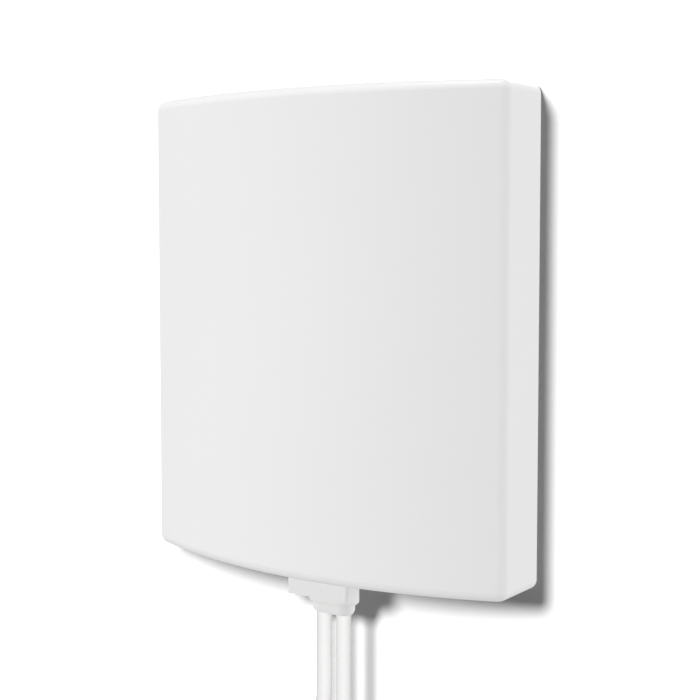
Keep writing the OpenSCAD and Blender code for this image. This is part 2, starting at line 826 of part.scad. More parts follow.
front_cover();
rear_cover();
cover_seal();
cover_screws();
bracket_inserts();
cable_grommet();
cable_clamp();
clamp_screws();
reflector_plate();
reflector_screws();
board_standoffs();
feed_board();
feed_lines();
board_screws();
rear_spacers();
driven_patch();
front_spacers();
parasitic_patch();
patch_screws();
patch_nuts();
feed_pins();
shield_clamp();
shield_screws();
inlet(LEFT);  // inlet_left
inlet(RIGHT);  // inlet_right
core(LEFT);  // core_left
core(RIGHT);  // core_right
lead(LEFT);  // lead_left
lead(RIGHT);  // lead_right
coil(LEFT);  // coil_left
coil(RIGHT);  // coil_right
tail(LEFT);  // tail_left
tail(RIGHT);  // tail_right
coil_tie(true);  // coil_tie_top
coil_tie(false);  // coil_tie_bottom
boot(LEFT);  // boot_left
boot(RIGHT);  // boot_right
plug_body(LEFT);  // plug_body_left
plug_body(RIGHT);  // plug_body_right
plug_insulator(LEFT);  // plug_insulator_left
plug_insulator(RIGHT);  // plug_insulator_right
plug_pin(LEFT);  // plug_pin_left
plug_pin(RIGHT);  // plug_pin_right
nut_ring(LEFT);  // nut_ring_left
nut_ring(RIGHT);  // nut_ring_right
coupling_nut(LEFT);  // coupling_nut_left
coupling_nut(RIGHT);  // coupling_nut_right
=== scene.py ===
"""Looks of a flat panel antenna with two coax leads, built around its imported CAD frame.

Metres, in the CAD's frame: the origin is the centre of the rear face, +Z is up, the front faces -Y
and the wall lies at y = 0. "Left" and "right" are as seen from the front.
"""

import json
import math

import bmesh
import bpy
from mathutils import Matrix, Vector


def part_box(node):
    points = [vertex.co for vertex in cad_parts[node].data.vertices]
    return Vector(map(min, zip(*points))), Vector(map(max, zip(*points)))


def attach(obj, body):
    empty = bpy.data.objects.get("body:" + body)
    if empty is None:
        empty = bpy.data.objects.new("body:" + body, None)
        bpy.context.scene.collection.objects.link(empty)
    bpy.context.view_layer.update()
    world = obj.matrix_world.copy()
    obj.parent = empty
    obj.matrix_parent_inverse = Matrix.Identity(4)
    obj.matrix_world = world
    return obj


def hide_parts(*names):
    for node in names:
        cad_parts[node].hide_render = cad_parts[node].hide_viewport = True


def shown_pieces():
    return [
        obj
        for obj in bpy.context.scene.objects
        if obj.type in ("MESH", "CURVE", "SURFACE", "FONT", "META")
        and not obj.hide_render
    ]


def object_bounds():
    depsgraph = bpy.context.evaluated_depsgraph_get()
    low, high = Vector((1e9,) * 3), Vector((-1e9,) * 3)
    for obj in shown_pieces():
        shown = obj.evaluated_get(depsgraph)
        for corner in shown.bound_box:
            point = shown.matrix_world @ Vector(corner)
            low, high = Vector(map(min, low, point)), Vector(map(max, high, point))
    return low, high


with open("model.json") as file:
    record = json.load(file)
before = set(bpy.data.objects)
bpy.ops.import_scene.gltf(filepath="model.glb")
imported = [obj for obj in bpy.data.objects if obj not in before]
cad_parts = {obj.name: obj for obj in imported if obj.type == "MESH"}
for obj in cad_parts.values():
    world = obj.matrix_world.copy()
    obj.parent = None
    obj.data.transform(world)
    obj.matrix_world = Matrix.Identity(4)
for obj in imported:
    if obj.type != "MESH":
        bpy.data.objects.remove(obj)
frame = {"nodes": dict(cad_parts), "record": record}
cad_low, cad_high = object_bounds()
nodes = frame["nodes"]
scene = bpy.context.scene
MM = 0.001
SIDES = {"left": -1, "right": 1}
PANEL = "panel"  # the body that everything but the coupling nuts rides on

# The panel, as in the CAD
HALF_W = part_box("front_cover")[1].x
HALF_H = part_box("front_cover")[1].z
DEPTH = -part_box("front_cover")[0].y
SIDE_D = 25 * MM
CROWN_D = DEPTH - SIDE_D
WALL = 2.2 * MM
EDGE_R = 5 * MM
RIM_R = 4 * MM
CROWN_R = (HALF_W**2 + CROWN_D**2) / (2 * CROWN_D)
CROWN_Y = CROWN_R - DEPTH
EDGE_X = HALF_W - EDGE_R
EDGE_Y = CROWN_Y - math.sqrt((CROWN_R - EDGE_R) ** 2 - EDGE_X**2)
EDGE_A = math.asin(EDGE_X / (CROWN_R - EDGE_R))

# The outlet block and the cables
BLOCK_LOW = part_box("front_cover")[0].z
BLOCK_X = 14.9 * MM
BLOCK_FRONT = -SIDE_D
BLOCK_BACK = -16.6 * MM
BLOCK_FLOOR = 2.2 * MM
BLOCK_WALL = 2 * MM
BLOCK_R = 1.2 * MM
THROAT_X = 10.4 * MM
THROAT_WALL = 1.2 * MM
NECK_R = 3.7 * MM
CABLE_R = 3.1 * MM
CABLE_X = 4.85 * MM
CABLE_Y = -13.2 * MM
EXIT_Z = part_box("cable_grommet")[0].z

# The ten screws around the rear cover, and their bosses in the front cover
SCREW_X = HALF_W - 9 * MM
SCREW_Z = HALF_H - 9 * MM
SCREW_MID_X = 24 * MM
COVER_SCREWS = [(sx * SCREW_X, sz * SCREW_Z) for sx in (-1, 1) for sz in (-1, 0, 1)]
COVER_SCREWS += [(sx * SCREW_MID_X, sz * SCREW_Z) for sx in (-1, 1) for sz in (-1, 1)]
BOSS_R = 3.4 * MM
BOSS_END = -5 * MM
BORE_R = 1.25 * MM
BORE_END = -16.2 * MM

# The coils: two layers each, from the outermost turn in and out again
COIL_Z = (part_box("coil_left")[0].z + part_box("coil_left")[1].z) / 2
COIL_INNER_R = 30.7 * MM
COIL_PITCH = 2 * CABLE_R
COIL_TURNS = 3.333  # in each layer
COIL_CROSS = 0.5  # turns that the cable takes to pass from one layer to the other
COIL_OUTER_R = COIL_INNER_R + COIL_PITCH * COIL_TURNS
COIL_ENTRY = math.radians(30)  # from the top of the coil to where the lead joins it
TURN_STEPS = 40
TIE_T = 1 * MM
COIL_LAYERS = {"left": (-17 * MM, -23.2 * MM), "right": (-10.8 * MM, -4.6 * MM)}

# Routes of the cables where they are not coiled, in millimetres from the exit: x outwards, y, z
LEADS = {
    "right": [
        (0, 0, 0), (0, 0, -15), (0, 0, -28), (0, 0.1, -36), (0.7, 0.5, -42), (2.4, 1.1, -48),
        (5.4, 1.7, -54), (9.3, 2.1, -59), (14.6, 2.3, -64), (20.83, 2.4, -68.2),
    ],
    "left": [
        (0, 0, 0), (0, 0, -15), (0, 0, -28), (0, -0.3, -36), (0.7, -1.4, -42), (2.4, -2.6, -48),
        (5.4, -3.5, -54), (9.3, -3.85, -59), (14.6, -3.85, -64), (20.83, -3.8, -68.2),
    ],
}
TAILS = {
    "right": [
        (46.5, 8.6, -112.7), (46.5, 8.4, -126), (46.5, 7.7, -140), (46.5, 7.1, -153),
        (46.5, 7.1, -168), (46.5, 7.1, -184), (46.5, 7.1, -200),
    ],
    "left": [
        (46.5, -10, -112.7), (46.5, -10, -130), (46.5, -10, -147), (46.5, -10, -165),
        (46.5, -10, -183), (46.5, -10, -200),
    ],
}

# The camera stands at the front right, a little above, and looks slightly down
CAMERA_AT = (0.3190, -0.4528, 0.0424)
CAMERA_AZIMUTH = math.radians(35.28)
CAMERA_PITCH = math.radians(3.77)
CAMERA_LENS = 69.75
CAMERA_SHIFT = -0.05


# ---- Camera ----

def make_camera():
    data = bpy.data.cameras.new("camera")
    data.sensor_width = 36
    data.lens = CAMERA_LENS
    data.shift_y = CAMERA_SHIFT
    data.clip_start = 0.01
    camera = bpy.data.objects.new("camera", data)
    scene.collection.objects.link(camera)
    camera.location = CAMERA_AT
    level = math.cos(CAMERA_PITCH)
    look = Vector((
        -math.sin(CAMERA_AZIMUTH) * level,
        math.cos(CAMERA_AZIMUTH) * level,
        -math.sin(CAMERA_PITCH),
    ))
    camera.rotation_mode = "QUATERNION"
    camera.rotation_quaternion = look.to_track_quat("-Z", "Y")
    scene.camera = camera


make_camera()


# ---- Materials ----

def new_material(name):
    material = bpy.data.materials.new(name)
    material.use_nodes = True
    tree = material.node_tree
    return material, tree, tree.nodes["Principled BSDF"]


def noise(tree, scale, detail=2.0, roughness=0.5, stretch=(1, 1, 1)):
    """Cloudy values around 0.5 that stay fixed to the piece; a larger scale makes finer clouds."""
    coordinates = tree.nodes.new("ShaderNodeTexCoord")
    mapping = tree.nodes.new("ShaderNodeMapping")
    mapping.inputs["Scale"].default_value = stretch
    texture = tree.nodes.new("ShaderNodeTexNoise")
    texture.inputs["Scale"].default_value = scale
    texture.inputs["Detail"].default_value = detail
    texture.inputs["Roughness"].default_value = roughness
    tree.links.new(coordinates.outputs["Object"], mapping.inputs["Vector"])
    tree.links.new(mapping.outputs["Vector"], texture.inputs["Vector"])
    return texture.outputs["Fac"]


def ramp(tree, value, low, high):
    """Spreads the middle of a noise's range over low to high."""
    node = tree.nodes.new("ShaderNodeMapRange")
    node.inputs["From Min"].default_value = 0.3
    node.inputs["From Max"].default_value = 0.7
    node.inputs["To Min"].default_value = low
    node.inputs["To Max"].default_value = high
    tree.links.new(value, node.inputs["Value"])
    return node.outputs["Result"]


def tint(tree, value, dark, light):
    node = tree.nodes.new("ShaderNodeMix")
    node.data_type = "RGBA"
    node.inputs["A"].default_value = (*dark, 1)
    node.inputs["B"].default_value = (*light, 1)
    tree.links.new(value, node.inputs["Factor"])
    return node.outputs["Result"]


def bump(tree, shader, height, distance, strength, below=None):
    node = tree.nodes.new("ShaderNodeBump")
    node.inputs["Strength"].default_value = strength
    node.inputs["Distance"].default_value = distance
    tree.links.new(height, node.inputs["Height"])
    if below is not None:
        tree.links.new(below, node.inputs["Normal"])
    tree.links.new(node.outputs["Normal"], shader.inputs["Normal"])
    return node.outputs["Normal"]


def plastic(name, colour, roughness, grain=2600, grain_depth=0.012):
    """Moulded plastic: a fine spark-eroded grain, and a slight drift of shade and gloss."""
    drift = 0.012
    material, tree, shader = new_material(name)
    cloud = noise(tree, 14, 3)
    dark = tuple(c * (1 - drift) for c in colour)
    light = tuple(min(1, c * (1 + drift)) for c in colour)
    tree.links.new(tint(tree, cloud, dark, light), shader.inputs["Base Color"])
    gloss = ramp(tree, noise(tree, 60, 4), roughness - 0.03, roughness + 0.03)
    tree.links.new(gloss, shader.inputs["Roughness"])
    wave = bump(tree, shader, noise(tree, 9, 1), 0.08 * MM, 0.6)
    bump(tree, shader, noise(tree, grain, 2), grain_depth * MM, 0.5, below=wave)
    return material


def metal(name, colour, roughness, turned=True):
    """Bare metal with fine lines, drawn out around a turned part."""
    material, tree, shader = new_material(name)
    stretch = (1, 1, 30) if turned else (1, 1, 1)
    lines = noise(tree, 900, 3, 0.6, stretch)
    dark = tuple(c * 0.86 for c in colour)
    tree.links.new(tint(tree, noise(tree, 300, 4), dark, colour), shader.inputs["Base Color"])
    shader.inputs["Metallic"].default_value = 1
    gloss = ramp(tree, lines, roughness - 0.06, roughness + 0.08)
    tree.links.new(gloss, shader.inputs["Roughness"])
    bump(tree, shader, lines, 0.01 * MM, 0.5)
    return material


def jacket(name, colour):
    """Extruded cable jacket: smooth, with faint die lines and a soft sheen."""
    material, tree, shader = new_material(name)
    dark = tuple(c * 0.97 for c in colour)
    tree.links.new(tint(tree, noise(tree, 40, 3), dark, colour), shader.inputs["Base Color"])
    tree.links.new(ramp(tree, noise(tree, 120, 3), 0.30, 0.40), shader.inputs["Roughness"])
    shader.inputs["Coat Weight"].default_value = 0.15
    shader.inputs["Coat Roughness"].default_value = 0.25
    bump(tree, shader, noise(tree, 700, 3), 0.02 * MM, 0.35)
    return material


def fabric(name, colour):
    """Hook-and-loop tape: a fuzzy face of small loops in rows."""
    material, tree, shader = new_material(name)
    loops = noise(tree, 1500, 4, 0.7)
    light = tuple(c * 2.2 + 0.01 for c in colour)
    tree.links.new(tint(tree, loops, colour, light), shader.inputs["Base Color"])
    shader.inputs["Roughness"].default_value = 0.95
    shader.inputs["Sheen Weight"].default_value = 0.5
    shader.inputs["Sheen Roughness"].default_value = 0.5
    bump(tree, shader, loops, 0.35 * MM, 0.9)
    return material


# Colour and roughness; then, for a plastic, its grain's scale and its depth in millimetres
MATERIALS = {
    "white_plastic": plastic("cover_plastic", (0.80, 0.80, 0.80), 0.42),
    "rear_plastic": plastic("rear_cover_plastic", (0.70, 0.70, 0.70), 0.5, 1800, 0.03),
    "grommet_plastic": plastic("grommet_plastic", (0.79, 0.79, 0.785), 0.45, 3000, 0.01),
    "seal_rubber": plastic("seal_rubber", (0.08, 0.08, 0.085), 0.7),
    "screw_steel": metal("screw_steel", (0.62, 0.62, 0.63), 0.28),
    "insert_brass": metal("insert_brass", (0.75, 0.56, 0.25), 0.3),
    "sheet_aluminium": metal("sheet_aluminium", (0.78, 0.78, 0.79), 0.35),
    "nylon": plastic("nylon", (0.78, 0.74, 0.64), 0.45),
    "board_laminate": plastic("board_laminate", (0.02, 0.12, 0.05), 0.35),
    "track_copper": metal("track_copper", (0.78, 0.42, 0.26), 0.3, False),
    "cable_jacket": jacket("cable_jacket", (0.90, 0.90, 0.895)),
    "cable_core": metal("cable_core", (0.70, 0.48, 0.34), 0.4, False),
    "heat_shrink": plastic("heat_shrink", (0.018, 0.018, 0.02), 0.55, 900, 0.03),
    "plug_metal": metal("plug_metal", (0.86, 0.62, 0.24), 0.2),
    "pin_gold": metal("pin_gold", (0.90, 0.66, 0.28), 0.15),
    "ptfe": plastic("ptfe", (0.82, 0.82, 0.80), 0.5),
    "tie_fabric": fabric("tie_fabric", (0.02, 0.02, 0.022)),
}


def finish_piece(piece, slot, *replaced, body=PANEL):
    """Gives a new piece its material, its place on a body and the CAD nodes that it stands for."""
    piece.data.materials.clear()
    piece.data.materials.append(MATERIALS[slot])
    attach(piece, body)
    if replaced:
        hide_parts(*replaced)
    return piece


# ---- Mesh helpers ----

def mesh_object(name, points, faces):
    data = bpy.data.meshes.new(name)
    data.from_pydata([tuple(p) for p in points], [], faces)
    data.update()
    piece = bpy.data.objects.new(name, data)
    scene.collection.objects.link(piece)
    return piece


def skin(name, rings):
    """A solid through a stack of rings with equal numbers of points."""
    n = len(rings[0])
    top = (len(rings) - 1) * n
    faces = []
    for low in range(0, top, n):
        high = low + n
        faces += [(low + j, low + (j + 1) % n, high + (j + 1) % n, high + j) for j in range(n)]
    faces.append(tuple(reversed(range(n))))
    faces.append(tuple(top + j for j in range(n)))
    return mesh_object(name, [p for ring in rings for p in ring], faces)


def apply_modifiers(piece):
    depsgraph = bpy.context.evaluated_depsgraph_get()
    data = bpy.data.meshes.new_from_object(piece.evaluated_get(depsgraph))
    piece.modifiers.clear()
    piece.data = data
    return piece


def cut(piece, tool, operation="DIFFERENCE"):
    """Takes the tool from the piece, or does another boolean, and uses the tool up."""
    modifier = piece.modifiers.new("cut", "BOOLEAN")
    modifier.operation = operation
    modifier.solver = "EXACT"
    modifier.object = tool
    apply_modifiers(piece)
    bpy.data.objects.remove(tool)
    return piece


def join(name, pieces):
    """One mesh object from several that don't touch."""
    points, faces = [], []
    for piece in pieces:
        base = len(points)
        points += [v.co.copy() for v in piece.data.vertices]
        faces += [tuple(base + i for i in f.vertices) for f in piece.data.polygons]
        bpy.data.objects.remove(piece)
    return mesh_object(name, points, faces)


def smooth(piece, angle=35, bevel=0.0, segments=2, bevel_angle=40):
    """Rounds sharp edges by "bevel" metres and shades everything flatter than "angle" smoothly."""
    bm = bmesh.new()
    bm.from_mesh(piece.data)
    bmesh.ops.remove_doubles(bm, verts=bm.verts, dist=1e-6)
    bmesh.ops.recalc_face_normals(bm, faces=bm.faces)
    bm.to_mesh(piece.data)
    bm.free()
    if bevel:
        modifier = piece.modifiers.new("bevel", "BEVEL")
        modifier.width = bevel
        modifier.segments = segments
        modifier.limit_method = "ANGLE"
        modifier.angle_limit = math.radians(bevel_angle)
        modifier.use_clamp_overlap = True
        apply_modifiers(piece)
    piece.data.polygons.foreach_set("use_smooth", [True] * len(piece.data.polygons))
    piece.data.set_sharp_from_angle(angle=math.radians(angle))
    if bevel:
        modifier = piece.modifiers.new("normals", "WEIGHTED_NORMAL")
        modifier.weight = 100
        modifier.keep_sharp = True
        apply_modifiers(piece)
    return piece


def circle(x, y, r, a0, a1, steps):
    """Points of an arc; the angle runs from -Y towards +X."""
    angles = [a0 + (a1 - a0) * i / steps for i in range(steps + 1)]
    return [(x + r * math.sin(a), y - r * math.cos(a)) for a in angles]


def around(r, steps):
    """Points of a full circle about the origin, or of a regular polygon."""
    angles = [math.tau * i / steps for i in range(steps)]
    return [(r * math.cos(a), r * math.sin(a)) for a in angles]


def upright(points, z):
    return [(x, y, z) for x, y in points]


def cuboid(low, high):
    (x0, y0, z0), (x1, y1, z1) = low, high
    base = [(x0, y0), (x1, y0), (x1, y1), (x0, y1)]
    return skin("cuboid", [upright(base, z0), upright(base, z1)])


def rod_along_y(x, z, r, y_front, y_back, steps):
    ring = around(r, steps)
    return skin("rod", [[(x + a, y, z + b) for a, b in ring] for y in (y_back, y_front)])


def post(x, y, r, z0, z1):
    ring = circle(x, y, r, 0, math.tau, 48)[:-1]
    return skin("post", [upright(ring, z0), upright(ring, z1)])


def lathe(name, profile, steps):
    """A solid of revolution about Z from (radius, height) pairs, lowest first."""
    return skin(name, [upright(around(r, steps), z) for r, z in profile])


def stadium(half_span, r):
    """Plan of an oval with straight sides, about the cables' axis plane."""
    right = circle(half_span, CABLE_Y, r, 0, math.pi, 24)
    left = circle(-half_span, CABLE_Y, r, math.pi, math.tau, 24)
    return right + left


# ---- Cables ----

def through(points):
    """A smooth line through given points (Catmull-Rom)."""
    steps = 6
    padded = [2 * points[0] - points[1], *points, 2 * points[-1] - points[-2]]
    line = []
    for a, b, c, d in zip(padded, padded[1:], padded[2:], padded[3:]):
        for i in range(steps):
            t = i / steps
            line.append(0.5 * (
                2 * b + (c - a) * t + (2 * a - 5 * b + 4 * c - d) * t**2
                + (3 * b - a - 3 * c + d) * t**3
            ))
    return [*line, points[-1].copy()]


def placed(route, side):
    """A route's points in the frame, mirrored for the left cable."""
    return [
        Vector((SIDES[side] * (CABLE_X + x * MM), CABLE_Y + y * MM, EXIT_Z + z * MM))
        for x, y, z in route
    ]


def coil_line(side):
    """The coiled stretch: in through one layer, across at the inside, out through the other."""
    enter_y, leave_y = COIL_LAYERS[side]
    turns = 2 * COIL_TURNS + COIL_CROSS
    count = round(turns * TURN_STEPS)
    line = []
    for i in range(count + 1):
        turn = turns * i / count
        inward = min(turn, COIL_TURNS)
        outward = max(turn - COIL_TURNS - COIL_CROSS, 0)
        across = min(max((turn - COIL_TURNS) / COIL_CROSS, 0), 1)
        across = across * across * (3 - 2 * across)
        r = COIL_OUTER_R - COIL_PITCH * inward + COIL_PITCH * outward
        a = COIL_ENTRY + turn * math.tau
        y = enter_y + (leave_y - enter_y) * across
        line.append(Vector((SIDES[side] * r * math.sin(a), y, COIL_Z + r * math.cos(a))))
    return line


def cable(side):
    """One whole cable, from the grommet to its plug, and its first point."""
    lead = through(placed(LEADS[side], side))
    tail = through(placed(TAILS[side], side))
    line = lead[:-1] + coil_line(side) + tail[1:]
    data = bpy.data.curves.new("cable_" + side, "CURVE")
    data.dimensions = "3D"
    spline = data.splines.new("POLY")
    spline.points.add(len(line) - 1)
    for point, place in zip(spline.points, line):
        point.co = (*place, 1)
    spline.use_smooth = True
    data.bevel_depth = CABLE_R
    data.bevel_resolution = 8
    data.use_fill_caps = True
    piece = bpy.data.objects.new("cable_" + side, data)
    scene.collection.objects.link(piece)
    finish_piece(piece, "cable_jacket", "lead_" + side, "coil_" + side, "tail_" + side)
    return piece, line[0]


cables = {side: cable(side) for side in SIDES}


# ---- Front cover ----

def plan(inset, rear):
    """The panel's plan outline, drawn in by "inset" all round except at the rear."""
    crown = circle(0, CROWN_Y, CROWN_R - inset, -EDGE_A, EDGE_A, 72)
    left = circle(-EDGE_X, EDGE_Y, EDGE_R - inset, -math.pi / 2, -EDGE_A, 12)
    right = circle(EDGE_X, EDGE_Y, EDGE_R - inset, EDGE_A, math.pi / 2, 12)
    return [(-(HALF_W - inset), rear), *left, *crown[1:-1], *right, (HALF_W - inset, rear)]


def panel_solid(inset, rear, rim_steps=10):
    """The panel's solid shape with rounded top and bottom rims, "inset" smaller all round."""
    r = RIM_R - inset
    z = HALF_H - inset - r
    angles = [math.pi / 2 * i / rim_steps for i in range(rim_steps + 1)]
    levels = [(-z - r * math.sin(a), a) for a in reversed(angles)]
    levels += [(z + r * math.sin(a), a) for a in angles]
    rings = [upright(plan(inset + r * (1 - math.cos(a)), rear), level) for level, a in levels]
    return skin("panel", rings)


def block_plan(inset, throat):
    """Plan of the outlet block ahead of the split: a wide front part and a throat behind it."""
    x = BLOCK_X - inset
    r = max(BLOCK_R - inset, 0.3 * MM)
    y = BLOCK_FRONT + inset
    back = BLOCK_BACK - inset
    left = circle(-x + r, y + r, r, -math.pi / 2, 0, 8)
    right = circle(x - r, y + r, r, 0, math.pi / 2, 8)
    return [
        (-throat, CABLE_Y), (-throat, back), (-x, back), *left,
        *right, (x, back), (throat, back), (throat, CABLE_Y),
    ]


def front_cover():
    """The crowned shell with its screw bosses and the front half of the outlet block."""
    past = 1 * MM  # how far the tools reach beyond what they cut
    block_top = -HALF_H + WALL
    block_inside = BLOCK_LOW + BLOCK_FLOOR
    cover = panel_solid(0, 0)
    cut(cover, panel_solid(WALL, past, rim_steps=6))
    bosses = [rod_along_y(x, z, BOSS_R, -DEPTH, BOSS_END, steps=32) for x, z in COVER_SCREWS]
    bosses = join("bosses", bosses)
    cut(bosses, panel_solid(WALL / 2, past, rim_steps=6), "INTERSECT")
    cut(cover, bosses, "UNION")
    block = block_plan(0, THROAT_X)
    cut(cover, skin("block", [upright(block, z) for z in (BLOCK_LOW, block_top)]), "UNION")
    bores = [rod_along_y(x, z, BORE_R, BORE_END, 0, steps=16) for x, z in COVER_SCREWS]
    cut(cover, join("bores", bores))
    hollow = block_plan(BLOCK_WALL, THROAT_X - THROAT_WALL)
    cut(cover, skin("inside", [upright(hollow, z) for z in (block_inside, block_top + past)]))
    notch = THROAT_X + 0.25 * MM  # the throat's rear half, on the rear cover, fits in with a gap
    cut(cover, cuboid((-notch, CABLE_Y, BLOCK_LOW - past), (notch, past, block_top + past)))
    neck = stadium(CABLE_X, NECK_R)
    cut(cover, skin("neck", [upright(neck, z) for z in (BLOCK_LOW - past, block_inside + past)]))
    cover.name = cover.data.name = "front_cover_shell"
    smooth(cover, bevel=0.4 * MM, segments=3)
    return finish_piece(cover, "white_plastic", "front_cover")


front_cover()


# ---- Grommet ----

def grommet():
    """The oval grommet: a lip inside the block, a neck, a rim, a step, and a tapering mouth."""
    floor_top = BLOCK_LOW + BLOCK_FLOOR
    rim_low = BLOCK_LOW - 3.9 * MM
    step_low = rim_low - 2.1 * MM
    lip_r = 4.3 * MM
    rim_span, rim_r = 5.2 * MM, 6 * MM
    step_span, step_r = 4.9 * MM, 4.6 * MM
    mouth_r, taper = 3.5 * MM, 1.1 * MM
    edge_steps, mouth_steps = 6, 10

    def corner(span, r, z, edge, up):
        """Rings around a rounded edge at height z, on the upper or the lower side of a flange."""
        turns = [math.pi / 2 * i / edge_steps for i in range(edge_steps + 1)]
        steps = [(edge * (1 - math.cos(a)), edge * (1 - math.sin(a))) for a in turns]
        if up:
            return [(span, r - away, z - down) for down, away in steps]
        return [(span, r - away, z + down) for away, down in steps]

    # (half span, end radius, height), from the inner lip down to the mouth
    rings = corner(CABLE_X, lip_r, floor_top + 2 * MM, 0.4 * MM, True)
    rings += [(CABLE_X, lip_r, floor_top)]
    rings += [(CABLE_X, NECK_R, floor_top), (CABLE_X, NECK_R, BLOCK_LOW)]
    rings += corner(rim_span, rim_r, BLOCK_LOW, 0.3 * MM, True)
    rings += corner(rim_span, rim_r, rim_low, 1.1 * MM, False)
    rings += [(step_span, 4.75 * MM, rim_low), (step_span, 4.62 * MM, rim_low - 0.2 * MM)]
    rings += [(step_span, step_r, step_low + 0.2 * MM)]
    for i in range(mouth_steps + 1):
        a = math.pi / 2 * i / mouth_steps
        rings.append((
            step_span - 0.05 * MM * i / mouth_steps,
            mouth_r + taper * math.cos(a) ** 1.4,
            step_low + (EXIT_Z - step_low) * math.sin(a) ** 1.2,
        ))
    piece = skin("grommet", [upright(stadium(span, r), z) for span, r, z in reversed(rings)])
    for s in SIDES.values():
        hole_r = CABLE_R + 0.03 * MM
        cut(piece, post(s * CABLE_X, CABLE_Y, hole_r, EXIT_Z - MM, floor_top + 4 * MM))
    smooth(piece)
    piece.name = piece.data.name = "outlet_grommet"
    return finish_piece(piece, "grommet_plastic", "cable_grommet")


grommet()


# ---- CAD nodes with softened edges ----

def softened(node, slot, bevel):
    """A copy of a CAD node with its sharp edges rounded."""
    piece = bpy.data.objects.new(node + "_soft", nodes[node].data.copy())
    scene.collection.objects.link(piece)
    piece.data.materials.clear()
    smooth(piece, bevel=bevel)
    return finish_piece(piece, slot, node)


record_slots = {part["node"]: part["material_slot"] for part in frame["record"]["subparts"]}
for name, node in nodes.items():
    node.data.materials.clear()
    node.data.materials.append(MATERIALS[record_slots[name]])
softened("rear_cover", "rear_plastic", 0.3 * MM)
softened("cover_screws", "screw_steel", 0.15 * MM)
softened("bracket_inserts", "insert_brass", 0.15 * MM)


# ---- Plugs ----

def plug_axis(side):
    """The axis of a plug, at height zero."""
    low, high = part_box("coupling_nut_" + side)
    return Vector(((low.x + high.x) / 2, (low.y + high.y) / 2, 0))


def moved(piece, offset):
    piece.data.transform(Matrix.Translation(offset))
    return piece


def coupling_nut(side):
    """Hex nut with chamfered corners, a round mouth, an inner collar and a 1/4-36 thread."""
    low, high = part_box("coupling_nut_" + side)
    length = high.z - low.z
    flats, mouth_r, mouth, collar = 4 * MM, 3.7 * MM, 1 * MM, 2 * MM
    minor, major, pitch = 2.83 * MM, 3.12 * MM, 25.4 / 36 * MM
    corner_r = flats / math.cos(math.pi / 6)
    nut = skin("nut", [upright(around(corner_r, 6), z) for z in (0, length)])

    # 30 degree chamfers, which start just inside the flats
    chamfer_r = flats - 0.1 * MM
    outer = corner_r + 0.2 * MM
    chamfer = (outer - flats + 0.1 * MM) * math.tan(math.radians(30))
    profile = [
        (mouth_r - 0.15 * MM, 0), (mouth_r, 0.15 * MM), (mouth_r, mouth), (chamfer_r, mouth),
        (outer, mouth + chamfer), (outer, length - chamfer), (chamfer_r, length),
    ]
    cut(nut, lathe("chamfers", profile, 96), "INTERSECT")

    # The thread: one ring for each eighth of a turn, its groove moving round with the height
    steps, rows = 48, 8
    count = int((length - collar - 0.5 * MM) / pitch * rows)
    mouth_ring = around(major + 0.3 * MM, steps)
    plain_ring = around(minor, steps)
    rings = [upright(mouth_ring, -0.2 * MM), upright(plain_ring, 0.2 * MM)]
    for k in range(count + 1):
        fade = min(1, k / rows, (count - k) / rows)
        ring = []
        for i in range(steps):
            phase = (k / rows - i / steps) % 1
            depth = (major - minor) * max(0.0, 1 - abs(phase - 0.5) / 0.4)
            a = math.tau * i / steps
            r = minor + depth * fade
            ring.append((r * math.cos(a), r * math.sin(a), 0.25 * MM + pitch * k / rows))
        rings.append(ring)
    cut(nut, skin("tap", [*rings, upright(plain_ring, length - collar)]))

    bore_r = 2.35 * MM
    cut(nut, lathe("bore", [(bore_r, length / 2), (bore_r, length + MM)], 48))
    smooth(nut, angle=30, bevel=0.06 * MM, segments=1)
    moved(nut, plug_axis(side) + Vector((0, 0, low.z)))
    nut.name = nut.data.name = "coupling_nut_turned_" + side
    return finish_piece(nut, "plug_metal", "coupling_nut_" + side, body="nut_" + side)


def boot(side):
    """Heat-shrink: tight on the jacket above, swelling over the crimp below, slightly uneven."""
    low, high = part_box("boot_" + side)
    length = high.z - low.z
    tight_r = 3.55 * MM
    edge = 0.12 * MM
    wide_r = (high.x - low.x) / 2 - edge
    steps, rows = 64, 60
    rings = []
    for k in range(rows + 1):
        t = k / rows
        swell = 1 / (1 + math.exp((t - 0.5) * 16))
        r = tight_r + (wide_r - tight_r) * swell
        if k == rows:
            r -= edge
        ring = []
        for i in range(steps):
            a = math.tau * i / steps
            uneven = 0.035 * math.sin(3 * a + 9 * t + SIDES[side]) + 0.03 * math.sin(5 * a - 23 * t)
            uneven += 0.04 * math.sin(31 * t + 1.3 * math.sin(a))
            out = r + uneven * MM * (1 if 0 < k < rows else 0.3)
            ring.append((out * math.cos(a), out * math.sin(a), low.z + length * t))
        rings.append(ring)
    sleeve = skin("sleeve", rings)
    hole_r = CABLE_R - 0.02 * MM
    cut(sleeve, lathe("inside", [(hole_r, low.z + length * 0.5), (hole_r, high.z + MM)], 48))
    smooth(sleeve, angle=40)
    moved(sleeve, plug_axis(side))
    sleeve.name = sleeve.data.name = "heat_shrink_" + side
    return finish_piece(sleeve, "heat_shrink", "boot_" + side)


for side in SIDES:
    coupling_nut(side)
    boot(side)
    softened("plug_body_" + side, "plug_metal", 0.1 * MM)
    softened("plug_insulator_" + side, "ptfe", 0.05 * MM)


# ---- Ties around the coils ----

